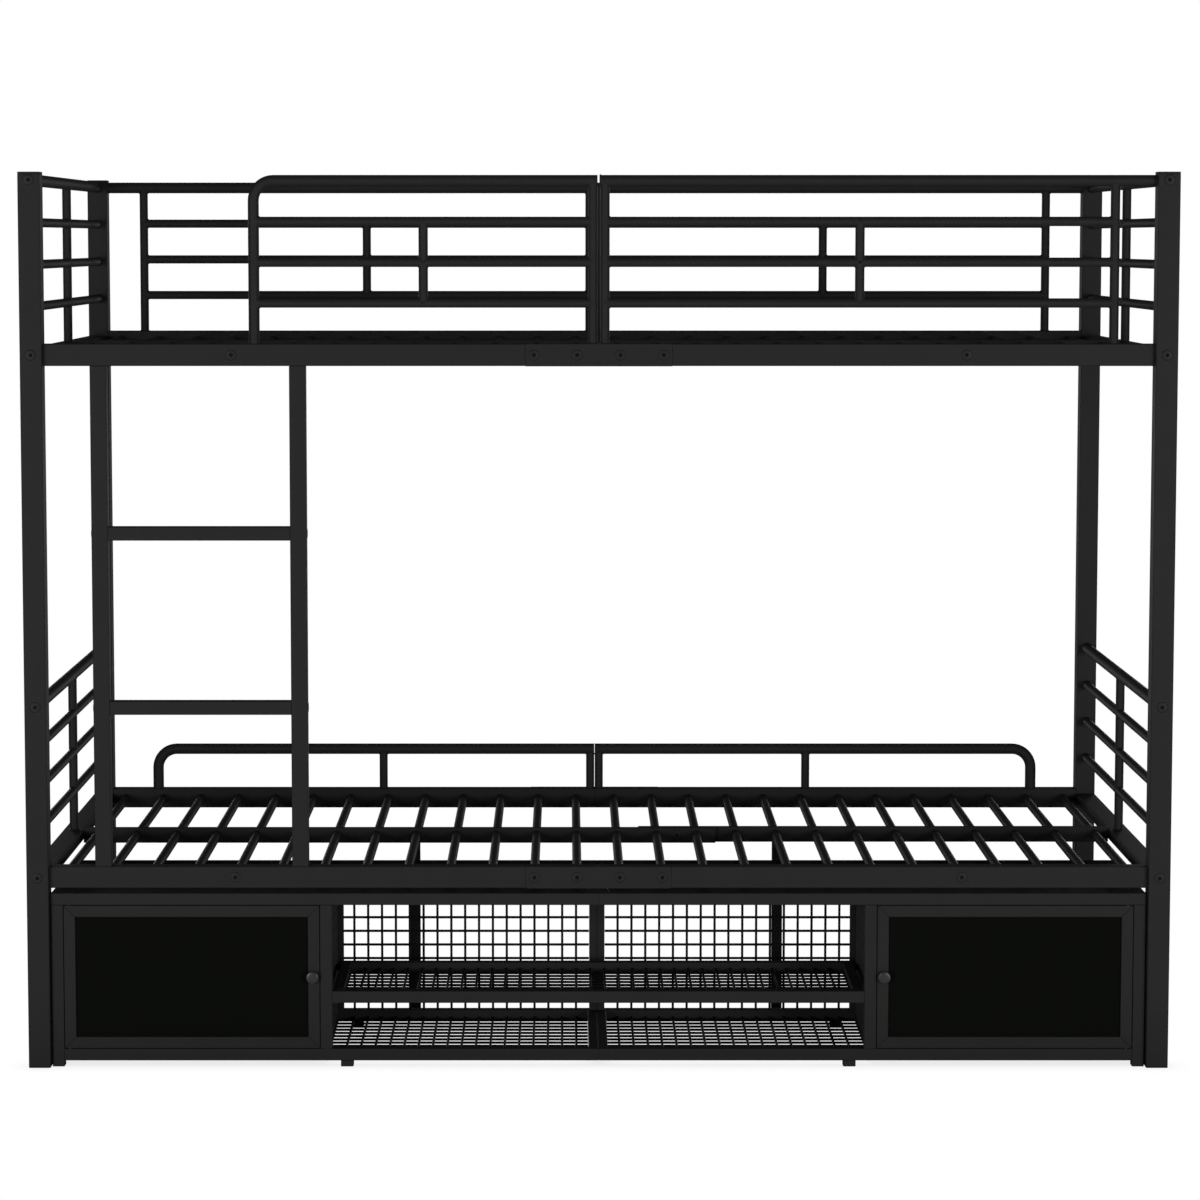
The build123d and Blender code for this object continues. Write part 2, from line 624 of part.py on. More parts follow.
def ladder_bolts():
    heads = []
    y = -RAIL_FACE_Y + LADDER_DEPTH / 2
    for z in RUNG_LEVELS:
        outer = (-LADDER_OUTER - LADDER_RAIL_WIDTH / 2, y, z)
        inner = (-LADDER_INNER + LADDER_RAIL_WIDTH / 2, y, z)
        heads.append(bolt_head(outer, (-1, 0, 0)))
        heads.append(bolt_head(inner, (1, 0, 0)))
    return heads


def storage_bolts():
    """Heads under the front rail, and the washers between the unit and the front posts."""
    pieces = []
    y = STORE_FRONT + STORE_TUBE / 2
    for side in SIDES.values():
        for x in (PARTITION, MIDDLE_RAIL_FACE):
            seat = (side * x, y, STORE_GROUND_GAP)
            pieces.append(bolt_head(seat, (0, 0, -1), STORE_BOLT_DIAMETER))
        for z in STORE_WASHER_HEIGHTS:
            seat = (side * STORE_END, y, z)
            pieces.append(bolt_head(seat, (side, 0, 0), STORE_BOLT_DIAMETER, STORE_POST_GAP))
    return pieces


os.makedirs("parts", exist_ok=True)

for side_name, side in SIDES.items():
    for face_name, face in FACES.items():
        save(f"post_{face_name}_{side_name}", post(side, face))
save("post_caps", *[post_cap(side, face) for side, face in CORNERS])
save("post_feet", *[post_foot(side, face) for side, face in CORNERS])

for deck_name, deck in DECKS.items():
    for side_name, side in SIDES.items():
        save(f"end_frame_{deck_name}_{side_name}", *end_frame(side, deck))
        save(f"slats_{deck_name}_{side_name}", *slats(side, deck))
        save(f"centre_beam_{deck_name}_{side_name}", centre_beam(side, deck))
        for face_name, face in FACES.items():
            save(f"side_rail_{deck_name}_{face_name}_{side_name}", side_rail(side, face, deck))
    save(f"joint_plates_{deck_name}", *[joint_plate(face, deck) for face in FACES.values()])
save("support_legs", *[support_leg(side) for side in SIDES.values()])

front_right = straight_guard(SIDES["right"], FACES["front"], FRONT_TOP_DIAMETER, FRONT_END_FROM_POST)
save("front_guard_left", *hooped_guard(SIDES["left"]))
save("front_guard_right", *front_right)
for side_name, side in SIDES.items():
    back = straight_guard(side, FACES["back"], BACK_TOP_DIAMETER, BACK_END_FROM_POST)
    save(f"back_guard_{side_name}", *back)
    save(f"low_guard_{side_name}", *low_guard(side))
save("ladder_rail_outer", ladder_rail(LADDER_OUTER))
save("ladder_rail_inner", ladder_rail(LADDER_INNER))
save("ladder_rungs", *[ladder_rung(level) for level in RUNG_LEVELS])

for side_name, side in SIDES.items():
    save(f"storage_frame_{side_name}", *storage_frame(side))
    save(f"cabinet_panels_{side_name}", *cabinet_panels(side))
    save(f"door_frame_{side_name}", *door_frame(side))
    save(f"door_panel_{side_name}", door_panel(side))
    save(f"door_knob_{side_name}", door_knob(side))
    save(f"hinge_pins_{side_name}", *hinge_pins(side))
save("storage_top_panels", *[top_panel(side) for side in SIDES.values()])
save("storage_back_mesh", *[piece for side in SIDES.values() for piece in back_mesh(side)])
save("storage_floor_mesh", *[piece for side in SIDES.values() for piece in floor_mesh(side)])
save("shelf_frame", *shelf_frame())
save("shelf_mesh", *shelf_mesh())
save("shelf_spacers", *[shelf_spacer(side) for side in SIDES.values()])

save("post_bolts", *post_bolts())
save("rail_bolts", *rail_bolts())
save("ladder_bolts", *ladder_bolts())
save("storage_bolts", *storage_bolts())
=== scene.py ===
"""Looks of a black powder-coated bunk bed with a ladder and a storage unit, built around its frame."""
import math

import bmesh
import bpy
from mathutils import Matrix, Vector


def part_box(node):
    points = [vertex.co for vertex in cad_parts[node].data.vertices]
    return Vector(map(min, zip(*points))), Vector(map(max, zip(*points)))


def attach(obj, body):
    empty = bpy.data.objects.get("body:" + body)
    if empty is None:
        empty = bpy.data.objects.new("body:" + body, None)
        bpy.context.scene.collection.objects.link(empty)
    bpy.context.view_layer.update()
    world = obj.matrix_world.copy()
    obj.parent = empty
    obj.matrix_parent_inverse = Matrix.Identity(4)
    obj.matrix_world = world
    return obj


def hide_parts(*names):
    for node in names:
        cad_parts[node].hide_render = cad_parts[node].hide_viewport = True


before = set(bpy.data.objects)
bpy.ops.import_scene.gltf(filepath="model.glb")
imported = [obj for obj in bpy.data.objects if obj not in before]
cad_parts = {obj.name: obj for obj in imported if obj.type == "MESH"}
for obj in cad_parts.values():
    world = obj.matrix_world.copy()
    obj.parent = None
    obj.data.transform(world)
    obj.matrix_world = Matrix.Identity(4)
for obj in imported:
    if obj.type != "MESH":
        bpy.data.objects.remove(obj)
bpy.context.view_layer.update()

MM = 0.001
SIDES = {"left": -1, "right": 1}
FACES = ("front", "back")
DECKS = ("lower", "upper")

# The camera, which looks at the bed from the front, a little from above
CAMERA_PLACE = (-0.05849, -6.9763, 1.51058)
CAMERA_DOWN = 5.029
CAMERA_LENS = 108
SENSOR_WIDTH = 36
CAMERA_SHIFT = (0.0280, -0.0363)
CAMERA_REACH = 60

# The lamps, in metres and watts, and the dim room around them
SOFTBOX_PLACE = (3.9, -6.9, 1.2)
SOFTBOX_SIZE = (2.6, 2.4)
SOFTBOX_POWER = 178
BACK_SOFTBOX_POWER = 60
LAMP_TARGET = (0, 0, 0.8)
FLOOR_GLOW_PLACE = (0, -2.1, 0.02)
FLOOR_GLOW_SIZE = (5.0, 3.0)
FLOOR_GLOW_POWER = 12
ROOM_LEVEL = 0.05
FLOOR_REACH = 12
# The painted shadow on the floor: how far from the bed it reaches, and how dark it gets
SHADOW_REACH = 0.05
SHADOW_DEPTH = 0.8

# Patterns of the coats: the slow drift of colour to a swell, and how far the gloss strays from its middle
DRIFT_PER_SWELL = 6
GLOSS_BELOW = 0.05
GLOSS_ABOVE = 0.07

# The hinge pins: rings of the lathe, and the range of their gloss
RING_PITCH = 0.4 * MM
WAVES_PER_UNIT = 20
RING_BEND = 0.5
PIN_GLOSS = (0.25, 0.4)

# Roundings of the real pieces
TUBE_CORNER = 2.2 * MM
SMALL_TUBE_CORNER = 1.6 * MM
END_ROUNDING = 0.5 * MM
SHEET_ROUNDING = 0.5 * MM
PLATE_CORNER = 1.5 * MM
PLATE_EDGE = 0.8 * MM
FLANGE_EDGE = 0.8 * MM
CORNER_STEPS = 3
RIM_ANGLE = 60
SMOOTH_ANGLE = 40
MERGE_DISTANCE = 1e-6

# A solid wider than this many times its height is a flat tube, and not a round bar
FLAT_TUBE_RATIO = 1.5
# A solid whose middle size is this many times its least is a bent tube, and not a straight bar
BENT_TUBE_RATIO = 2

# Round tubes and their welds
ROUND_STEPS = 28
BEND_STEPS = 10
WIRE_STEPS = 10
WIRE_SWELL = 1.2
WELD_RADIUS = 1.5 * MM
WELD_STEPS = 20
WELD_SECTION = 6

# Bends of the guards' hoops, to the middle of the tube
FRONT_HOOP_BEND = 36 * MM
LOW_HOOP_BEND = 39 * MM

# Bolt heads: (share of the radius, share of the height) from a thin ring of painted shade at the foot to the
# crown of the dome
SHADE_RING_SHARE = 1.08
BOLT_OUTLINE = [(SHADE_RING_SHARE, 0.25), (1.0, 0.25), (1.0, 0.6), (0.93, 0.85), (0.7, 1.0)]
# The first rings of the outline are the ring of painted shade at the foot of the head
PAINTED_SHADE_RINGS = 2
HEAD_SLOT = 0
PAINTED_SHADE_SLOT = 1
SOCKET_WIDTH = 0.36
SOCKET_DEPTH = 0.7 * MM
BOLT_STEPS = 24

# Knobs: (share of the radius, share of the height) from the foot of the stem to the top of the head
KNOB_OUTLINE = [
    (0.46, 0.0), (0.42, 0.12), (0.40, 0.28), (0.46, 0.38), (0.70, 0.43), (0.90, 0.49), (0.98, 0.58),
    (1.0, 0.68), (0.985, 0.80), (0.93, 0.90), (0.80, 0.965), (0.50, 0.992), (0.0, 1.0),
]
KNOB_STEPS = 40
KNOB_SMOOTH_ANGLE = 60

# Storage unit
STORE_TUBE = 22 * MM
STORE_FOOT_GAP = 11 * MM
STORE_SEAM = 0.1 * MM
BAY_HALF_WIDTH = 487.2 * MM
MIDDLE_RAIL_WIDTH = 17.5 * MM
MIDDLE_UPRIGHT_WIDTH = 14.7 * MM
STUB_WIDTH = 23 * MM
STUB_DISTANCE = 460.5 * MM
SHELF_SIDE_WIDTH = 20 * MM
DOOR_FRAME_WIDTH = 21 * MM
DOOR_EDGE = 0.9 * MM
DOOR_EDGE_STEPS = 2
CAP_FLANGE = 4 * MM
FOOT_FLANGE = 3 * MM


def linear(hex_colour):
    """A colour written as sRGB hex, in the linear values that the shader takes."""
    channels = [int(hex_colour[i:i + 2], 16) / 255 for i in (1, 3, 5)]
    return [c / 12.92 if c <= 0.04045 else ((c + 0.055) / 1.055) ** 2.4 for c in channels] + [1.0]


def add_node(tree, kind, settings=None, links=None):
    """Adds a shader node, sets its properties and sockets by name, and links sockets to it."""
    node = tree.nodes.new(kind)
    for name, value in (settings or {}).items():
        if isinstance(name, str) and hasattr(node, name):
            setattr(node, name, value)
        else:
            node.inputs[name].default_value = value
    for socket, source in (links or {}).items():
        tree.links.new(source, node.inputs[socket])
    return node


def new_material(name):
    """An empty node material and its tree."""
    material = bpy.data.materials.new(name)
    material.use_nodes = True
    material.node_tree.nodes.clear()
    return material, material.node_tree


def coated(name, dark, pale, roughness, grain, grain_height, swell, swell_height, specular):
    """A coat whose colour drifts a little between two tones, with a fine grain on a slow swell.

    grain and swell are the sizes of the two patterns in metres, and the heights are in metres too.
    """
    material, tree = new_material(name)
    place = add_node(tree, "ShaderNodeTexCoord").outputs["Object"]
    drift = add_node(
        tree,
        "ShaderNodeTexNoise",
        {"Scale": 1 / swell / DRIFT_PER_SWELL, "Detail": 3},
        {"Vector": place},
    )
    tone = add_node(
        tree,
        "ShaderNodeMix",
        {"data_type": "RGBA", 6: linear(dark), 7: linear(pale)},
        {0: drift.outputs["Fac"]},
    )
    fine = add_node(tree, "ShaderNodeTexNoise", {"Scale": 1 / grain, "Detail": 4}, {"Vector": place})
    slow = add_node(tree, "ShaderNodeTexNoise", {"Scale": 1 / swell, "Detail": 2}, {"Vector": place})
    gloss = add_node(
        tree,
        "ShaderNodeMapRange",
        {"To Min": roughness - GLOSS_BELOW, "To Max": roughness + GLOSS_ABOVE},
        {"Value": fine.outputs["Fac"]},
    )
    under = add_node(
        tree, "ShaderNodeBump", {"Strength": 1, "Distance": swell_height}, {"Height": slow.outputs["Fac"]}
    )
    bump = add_node(
        tree,
        "ShaderNodeBump",
        {"Strength": 1, "Distance": grain_height},
        {"Height": fine.outputs["Fac"], "Normal": under.outputs["Normal"]},
    )
    shader = add_node(
        tree,
        "ShaderNodeBsdfPrincipled",
        {"Specular IOR Level": specular, "IOR": 1.5},
        {
            "Base Color": tone.outputs[2],
            "Roughness": gloss.outputs["Result"],
            "Normal": bump.outputs["Normal"],
        },
    )
    add_node(tree, "ShaderNodeOutputMaterial", links={"Surface": shader.outputs["BSDF"]})
    return material


# Epoxy-polyester powder, sprayed and baked on steel: a satin black with a faint orange peel
POWDER = coated("black_powder_coat", "#272727", "#2b2b2b", 0.5, 1.2 * MM, 0.03 * MM, 9 * MM, 0.03 * MM, 0.1)
# The same powder on drawn wire, which keeps it thicker and rounder at the crossings, in a darker tone that is
# painted shade
SHADED_WIRE_POWDER = coated(
    "powder_coated_wire_painted_shade", "#151515", "#1a1a1a", 0.5, 1.0 * MM, 0.02 * MM, 6 * MM, 0.02 * MM, 0.1
)
# Powder on flat sheet steel, which lets slow waves of the sheet show in the light; its tone, darker than the
# tubes' powder, is painted shade
SHADED_SHEET_POWDER = coated(
    "powder_coated_sheet_painted_shade", "#1d1d1d", "#212121", 0.5, 1.4 * MM, 0.02 * MM, 60 * MM, 0.15 * MM, 0.1
)
# Melamine-faced board with a closed dull film: nearly black, with a trace of green
DOOR_FILM = coated(
    "dull_black_board", "#0c0e0b", "#0f110d", 0.6, 0.8 * MM, 0.01 * MM, 40 * MM, 0.05 * MM, 0.02
)
# Moulded polypropylene with a spark-eroded grain: duller and rougher than the powder
PLASTIC = coated(
    "moulded_black_plastic", "#232323", "#282828", 0.62, 0.9 * MM, 0.05 * MM, 8 * MM, 0.02 * MM, 0.15
)
# Lacquer on the turned knobs, which is smoother than the powder and catches a clear highlight
KNOB_LACQUER = coated("lacquered_knob", "#2c2c2c", "#323232", 0.3, 0.8 * MM, 0.01 * MM, 6 * MM, 0.01 * MM, 0.4)
# Painted shade: a flat, darker black in and around each head, on a thin ring at its foot and on the bottoms of
# the sockets, where shadow falls
PAINTED_SHADE_BLACK = coated("painted_shade_black", "#121212", "#151515", 0.7, 0.8 * MM, 0.01 * MM, 5 * MM, 0.01 * MM, 0.05)
# Black oxide under oil on steel bolt heads: a little smoother than the tubes around them
BOLT_BLACK = coated(
    "black_oxide_bolts", "#262626", "#2c2c2c", 0.42, 0.7 * MM, 0.015 * MM, 4 * MM, 0.01 * MM, 0.12
)


def turned_steel():
    """Turned steel for the hinge pins, dulled by oil, whose fine rings from the lathe catch the light."""
    material, tree = new_material("turned_steel")
    place = add_node(tree, "ShaderNodeTexCoord").outputs["Object"]
    rings = add_node(
        tree,
        "ShaderNodeTexWave",
        {"bands_direction": "Z", "Scale": 1 / RING_PITCH / WAVES_PER_UNIT, "Distortion": RING_BEND},
        {"Vector": place},
    )
    gloss = add_node(
        tree,
        "ShaderNodeMapRange",
        {"To Min": PIN_GLOSS[0], "To Max": PIN_GLOSS[1]},
        {"Value": rings.outputs["Fac"]},
    )
    tint = add_node(
        tree, "ShaderNodeHueSaturation", {"Color": linear("#c8c8c5")}, {"Value": gloss.outputs["Result"]}
    )
    shader = add_node(
        tree,
        "ShaderNodeBsdfPrincipled",
        {"Metallic": 1.0},
        {"Base Color": tint.outputs["Color"], "Roughness": gloss.outputs["Result"]},
    )
    add_node(tree, "ShaderNodeOutputMaterial", links={"Surface": shader.outputs["BSDF"]})
    return material


PIN_STEEL = turned_steel()


def span(side, near, far):
    """The limits, low first, of a stretch measured outwards from the middle on one side."""
    return tuple(sorted((side * near, side * far)))


def limits_of(low, high):
    """The limits along X, Y and Z between two corners."""
    return [(low[i], high[i]) for i in range(3)]


def add_object(name, data):
    """A new object at the origin of the scene."""
    made = bpy.data.objects.new(name, data)
    bpy.context.scene.collection.objects.link(made)
    return made


def edges_of(verts):
    """The edges at some vertices, each once and always in the same order."""
    return list(dict.fromkeys(edge for vert in verts for edge in vert.link_edges))


def add_block(bm, centre, size):
    """A plain block, and its vertices."""
    matrix = Matrix.Translation(centre) @ Matrix.Diagonal(size).to_4x4()
    return bmesh.ops.create_cube(bm, size=1, matrix=matrix)["verts"]


def round_edges(bm, edges, radius, steps):
    """Rounds edges, and returns what the operator made."""
    return bmesh.ops.bevel(
        bm,
        geom=edges,
        offset=radius,
        offset_type="OFFSET",
        segments=steps,
        profile=0.5,
        affect="EDGES",
        material=-1,
        clamp_overlap=True,
    )


def rounded_block(bm, x, y, z, long_axis, corner, end=END_ROUNDING):
    """A bar between limits, rounded well along its length and slightly at its ends."""
    limits = (x, y, z)
    size = Vector([high - low for low, high in limits])
    centre = Vector([(high + low) / 2 for low, high in limits])
    along = [edge for edge in edges_of(add_block(bm, centre, size)) if is_along(edge, long_axis)]
    bevelled = round_edges(bm, along, corner, CORNER_STEPS)
    new_verts = dict.fromkeys(vert for face in bevelled["faces"] for vert in face.verts)
    around = [edge for edge in edges_of(new_verts) if not is_along(edge, long_axis)]
    rim_angle = math.radians(RIM_ANGLE)
    rims = [edge for edge in around if edge.is_manifold and edge.calc_face_angle() > rim_angle]
    round_edges(bm, rims, end, 1)


def is_along(edge, axis):
    """Whether an edge runs along one axis: 0, 1 or 2 for X, Y or Z."""
    run = edge.verts[1].co - edge.verts[0].co
    return run.length > 0 and abs(run[axis]) > 0.999 * run.length


def axis_turn(axis):
    """The turn that takes the Z axis to another axis."""
    return {
        0: Matrix.Rotation(math.radians(90), 4, "Y"),
        1: Matrix.Rotation(math.radians(-90), 4, "X"),
        2: Matrix.Identity(4),
    }[axis]


def round_bar(bm, start, end, radius, axis, steps=ROUND_STEPS):
    """A closed round bar along one axis."""
    middle = (Vector(start) + Vector(end)) / 2
    length = abs(end[axis] - start[axis])
    bmesh.ops.create_cone(
        bm,
        cap_ends=True,
        segments=steps,
        radius1=radius,
        radius2=radius,
        depth=length,
        matrix=Matrix.Translation(middle) @ axis_turn(axis),
    )


def separate_boxes(node):
    """(low corner, high corner) of each separate solid in a CAD node, read from a merged copy."""
    bm = bmesh.new()
    bm.from_mesh(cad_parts[node].data)
    bmesh.ops.remove_doubles(bm, verts=bm.verts, dist=MERGE_DISTANCE)
    waiting = set(bm.verts)
    boxes = []
    while waiting:
        group = [waiting.pop()]
        for vert in group:
            for edge in vert.link_edges:
                other = edge.other_vert(vert)
                if other in waiting:
                    waiting.remove(other)
                    group.append(other)
        low = Vector([min(vert.co[i] for vert in group) for i in range(3)])
        high = Vector([max(vert.co[i] for vert in group) for i in range(3)])
        boxes.append((low, high))
    bm.free()
    return sorted(boxes, key=lambda pair: tuple(pair[0]) + tuple(pair[1]))


def make_piece(name, bm, material, node, body="root", smooth_angle=SMOOTH_ANGLE):
    """Turns a bmesh into a finished piece that stands for a CAD node and rides on its body."""
    mesh = bpy.data.meshes.new(name)
    bm.to_mesh(mesh)
    bm.free()
    mesh.materials.append(material)
    mesh.shade_smooth()
    mesh.set_sharp_from_angle(angle=math.radians(smooth_angle))
    piece = add_object(name, mesh)
    weighted = piece.modifiers.new("flat_faces", "WEIGHTED_NORMAL")
    weighted.keep_sharp = True
    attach(piece, body)
    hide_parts(node)
    return piece


def weld(bm, centre, radius, axis, tube=None):
    """A bead around the end of a round bar, on a flat face or saddled on the tube that it meets.

    tube is (its axis, its radius, which way the bar stands), and centre is then on the tube's axis.
    """
    bead = bmesh.new()
    bmesh.ops.create_circle(
        bead,
        segments=WELD_SECTION,
        radius=WELD_RADIUS,
        matrix=Matrix.Translation((radius, 0, 0)) @ Matrix.Rotation(math.radians(90), 4, "X"),
    )
    bmesh.ops.spin(
        bead,
        geom=list(bead.verts) + list(bead.edges),
        cent=(0, 0, 0),
        axis=(0, 0, 1),
        angle=math.tau,
        steps=WELD_STEPS,
        use_merge=True,
    )
    bmesh.ops.transform(bead, verts=bead.verts, matrix=axis_turn(axis))
    if tube:
        tube_axis, tube_radius, direction = tube
        for vert in bead.verts:
            off = min(abs(vert.co[3 - axis - tube_axis]), tube_radius)
            vert.co[axis] += direction * math.sqrt(tube_radius ** 2 - off ** 2)
    bmesh.ops.translate(bead, verts=bead.verts, vec=centre)
    bmesh.ops.recalc_face_normals(bead, faces=bead.faces)
    mesh = bpy.data.meshes.new("bead")
    bead.to_mesh(mesh)
    bead.free()
    bm.from_mesh(mesh)
    bpy.data.meshes.remove(mesh)


def weld_ends(bm, bars, tubes):
    """Beads at both ends of each bar. Bars and tubes are (low corner, high corner, axis, radius)."""
    for low, high, axis, radius in bars:
        middle = (low + high) / 2
        for end in (low, high):
            centre = middle.copy()
            centre[axis] = end[axis]
            met = [tube for tube in tubes if tube[2] != axis and is_inside(centre, tube)]
            if not met:
                weld(bm, centre, radius, axis)
                continue
            tube_low, tube_high, tube_axis, tube_radius = met[0]
            centre[axis] = (tube_low[axis] + tube_high[axis]) / 2
            direction = 1 if middle[axis] > centre[axis] else -1
            weld(bm, centre, radius, axis, (tube_axis, tube_radius, direction))


def is_inside(point, tube):
    """Whether a point lies in a tube's box, give or take the width of a weld."""
    low, high = tube[:2]
    return all(low[i] - WELD_RADIUS < point[i] < high[i] + WELD_RADIUS for i in range(3))


def box_limits(node):
    """The limits of a CAD node along X, Y and Z, in metres."""
    return limits_of(*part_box(node))


def longest_axis(low, high):
    """The axis along which a box is longest: 0, 1 or 2 for X, Y or Z."""
    size = [high[i] - low[i] for i in range(3)]
    return size.index(max(size))


def round_from_box(bm, low, high, steps=ROUND_STEPS, swell=1.0):
    """A round bar in a CAD solid's box, along its longest side, and the row that describes it."""
    axis = longest_axis(low, high)
    start = (low + high) / 2
    end = start.copy()
    start[axis], end[axis] = low[axis], high[axis]
    radius = swell * min(high[i] - low[i] for i in range(3)) / 2
    round_bar(bm, start, end, radius, axis, steps)
    return low, high, axis, radius


def hoop(bm, low, high, side, bend):
    """A tube that rises at its outer end, bends through a quarter turn and runs to the middle.

    It returns rows that describe its upright and its level run.
    """
    radius = (high.y - low.y) / 2
    middle_y = (low.y + high.y) / 2
    outer = (high.x if side > 0 else low.x) - side * radius
    inner = low.x if side > 0 else high.x
    top = high.z - radius
    made = bmesh.ops.create_circle(
        bm, segments=ROUND_STEPS, radius=radius, matrix=Matrix.Translation((outer, middle_y, low.z))
    )
    loop = edges_of(made["verts"])
    bmesh.ops.contextual_create(bm, geom=loop)
    loop = extrude_edges(bm, loop, (0, 0, top - bend - low.z))
    spun = bmesh.ops.spin(
        bm,
        geom=loop + list(dict.fromkeys(vert for edge in loop for vert in edge.verts)),
        cent=(outer - side * bend, middle_y, top - bend),
        axis=(0, -side, 0),
        angle=math.radians(90),
        steps=BEND_STEPS,
    )
    loop = [item for item in spun["geom_last"] if isinstance(item, bmesh.types.BMEdge)]
    loop = extrude_edges(bm, loop, (inner - (outer - side * bend), 0, 0))
    bmesh.ops.contextual_create(bm, geom=loop)
    upright = (Vector((outer - radius, low.y, low.z)), Vector((outer + radius, high.y, top)), 2, radius)
    level = (Vector((low.x, low.y, top - radius)), Vector(high), 0, radius)
    return [upright, level]


def grow_ring(bm, loop, slot=0):
    """Extrudes a loop in place, paints the new faces, and returns the new loop and its vertices."""
    grown = bmesh.ops.extrude_edge_only(bm, edges=loop)["geom"]
    verts = [item for item in grown if isinstance(item, bmesh.types.BMVert)]
    for item in grown:
        if isinstance(item, bmesh.types.BMFace):
            item.material_index = slot
    edges = [item for item in grown if isinstance(item, bmesh.types.BMEdge)]
    return [edge for edge in edges if all(vert in verts for vert in edge.verts)], verts


def extrude_edges(bm, loop, move):
    """Extrudes a loop of edges along a straight run and returns the new loop."""
    loop, verts = grow_ring(bm, loop)
    bmesh.ops.translate(bm, vec=move, verts=verts)
    return loop


def flat_node(node, long_axis, corner, material=None, body="root"):
    """A single flat-sided bar or sheet in its CAD node's box."""
    bm = bmesh.new()
    rounded_block(bm, *box_limits(node), long_axis, corner)
    make_piece(f"{node}_coated", bm, material or POWDER, node, body)


def build_posts():
    for face in FACES:
        for side in SIDES:
            flat_node(f"post_{face}_{side}", 2, TUBE_CORNER)


def build_post_ends():
    """The flanges of the moulded caps and feet, with a softened outer edge."""
    for node, top in (("post_caps", True), ("post_feet", False)):
        bm = bmesh.new()
        for low, high in separate_boxes(node):
            z = (high.z - CAP_FLANGE, high.z) if top else (low.z, low.z + FOOT_FLANGE)
            rounded_block(bm, (low.x, high.x), (low.y, high.y), z, 2, TUBE_CORNER, FLANGE_EDGE)
        make_piece(f"{node}_moulded", bm, PLASTIC, node)


def build_rails():
    for deck in DECKS:
        for side in SIDES:
            for face in FACES:
                flat_node(f"side_rail_{deck}_{face}_{side}", 0, TUBE_CORNER)
            flat_node(f"centre_beam_{deck}_{side}", 0, SMALL_TUBE_CORNER)
        bm = bmesh.new()
        for low, high in separate_boxes(f"joint_plates_{deck}"):
            rounded_block(bm, *limits_of(low, high), 1, PLATE_CORNER, PLATE_EDGE)
        make_piece(f"joint_plates_{deck}_coated", bm, POWDER, f"joint_plates_{deck}")
    bm = bmesh.new()
    for low, high in separate_boxes("support_legs"):
        rounded_block(bm, *limits_of(low, high), 2, SMALL_TUBE_CORNER)
    make_piece("support_legs_coated", bm, POWDER, "support_legs")


def build_slats():
    for deck in DECKS:
        for side in SIDES:
            node = f"slats_{deck}_{side}"
            bm = bmesh.new()
            for low, high in separate_boxes(node):
                weld_ends(bm, [round_from_box(bm, low, high)], [])
            make_piece(f"{node}_coated", bm, POWDER, node)


def build_end_frames():
    for deck in DECKS:
        for side in SIDES:
            node = f"end_frame_{deck}_{side}"
            bm = bmesh.new()
            bars = []
            for low, high in separate_boxes(node):
                if high.x - low.x > FLAT_TUBE_RATIO * (high.z - low.z):
                    rounded_block(bm, *limits_of(low, high), 1, TUBE_CORNER)
                else:
                    bars.append(round_from_box(bm, low, high))
            weld_ends(bm, bars, bars)
            make_piece(f"{node}_coated", bm, POWDER, node)


def build_guards():
    """The guards, whose widest and tallest solid is a hoop where its kind has a bend."""
    bends = {"front_guard": FRONT_HOOP_BEND, "back_guard": 0.0, "low_guard": LOW_HOOP_BEND}
    for kind, bend in bends.items():
        for side_name, side in SIDES.items():
            node = f"{kind}_{side_name}"
            bm = bmesh.new()
            bars = []
            tubes = []
            for low, high in separate_boxes(node):
                size = sorted(high[i] - low[i] for i in range(3))
                if size[1] > BENT_TUBE_RATIO * size[0]:
                    tubes += hoop(bm, low, high, side, bend)
                else:
                    bars.append(round_from_box(bm, low, high))
            weld_ends(bm, bars, bars + tubes)
            make_piece(f"{node}_coated", bm, POWDER, node)


def build_ladder():
    flat_node("ladder_rail_outer", 2, TUBE_CORNER)
    flat_node("ladder_rail_inner", 2, TUBE_CORNER)
    bm = bmesh.new()
    for low, high in separate_boxes("ladder_rungs"):
        rounded_block(bm, *limits_of(low, high), 0, TUBE_CORNER)
    make_piece("ladder_rungs_coated", bm, POWDER, "ladder_rungs")


def build_storage_frame(side_name, side):
    """One half of the welded frame of square tube."""
    node = f"storage_frame_{side_name}"
    x, (front, back), (floor, top) = box_limits(node)
    end = max(abs(x[0]), abs(x[1]))
    seam = STORE_SEAM / 2
    inner_end = end - STORE_TUBE
    tubes_y = ((front, front + STORE_TUBE), (back - STORE_TUBE, back))
    between_y = (tubes_y[0][1], tubes_y[1][0])
    top_z = (top - STORE_TUBE, top)
    base_z = (STORE_FOOT_GAP, STORE_FOOT_GAP + STORE_TUBE)
    between_z = (base_z[1], top_z[0])
    bay_x = span(side, BAY_HALF_WIDTH, BAY_HALF_WIDTH + STORE_TUBE)
    stub_x = span(side, STUB_DISTANCE - STUB_WIDTH / 2, STUB_DISTANCE + STUB_WIDTH / 2)
    outer_x = span(side, inner_end, end)
    bm = bmesh.new()
    for y in tubes_y:
        rounded_block(bm, span(side, seam, end), y, top_z, 0, SMALL_TUBE_CORNER)
        rounded_block(bm, span(side, seam, inner_end), y, base_z, 0, SMALL_TUBE_CORNER)
        rounded_block(bm, outer_x, y, (floor, top_z[0]), 2, SMALL_TUBE_CORNER)
        rounded_block(bm, bay_x, y, between_z, 2, SMALL_TUBE_CORNER)
        rounded_block(bm, stub_x, y, (floor, base_z[0]), 2, SMALL_TUBE_CORNER)
    for z in (top_z, base_z):
        rounded_block(bm, outer_x, between_y, z, 1, SMALL_TUBE_CORNER)
        rounded_block(bm, span(side, seam, seam + MIDDLE_RAIL_WIDTH), between_y, z, 1, SMALL_TUBE_CORNER)
    middle_x = span(side, seam, seam + MIDDLE_UPRIGHT_WIDTH)
    rounded_block(bm, middle_x, tubes_y[1], between_z, 2, SMALL_TUBE_CORNER)
    make_piece(f"{node}_coated", bm, POWDER, node)


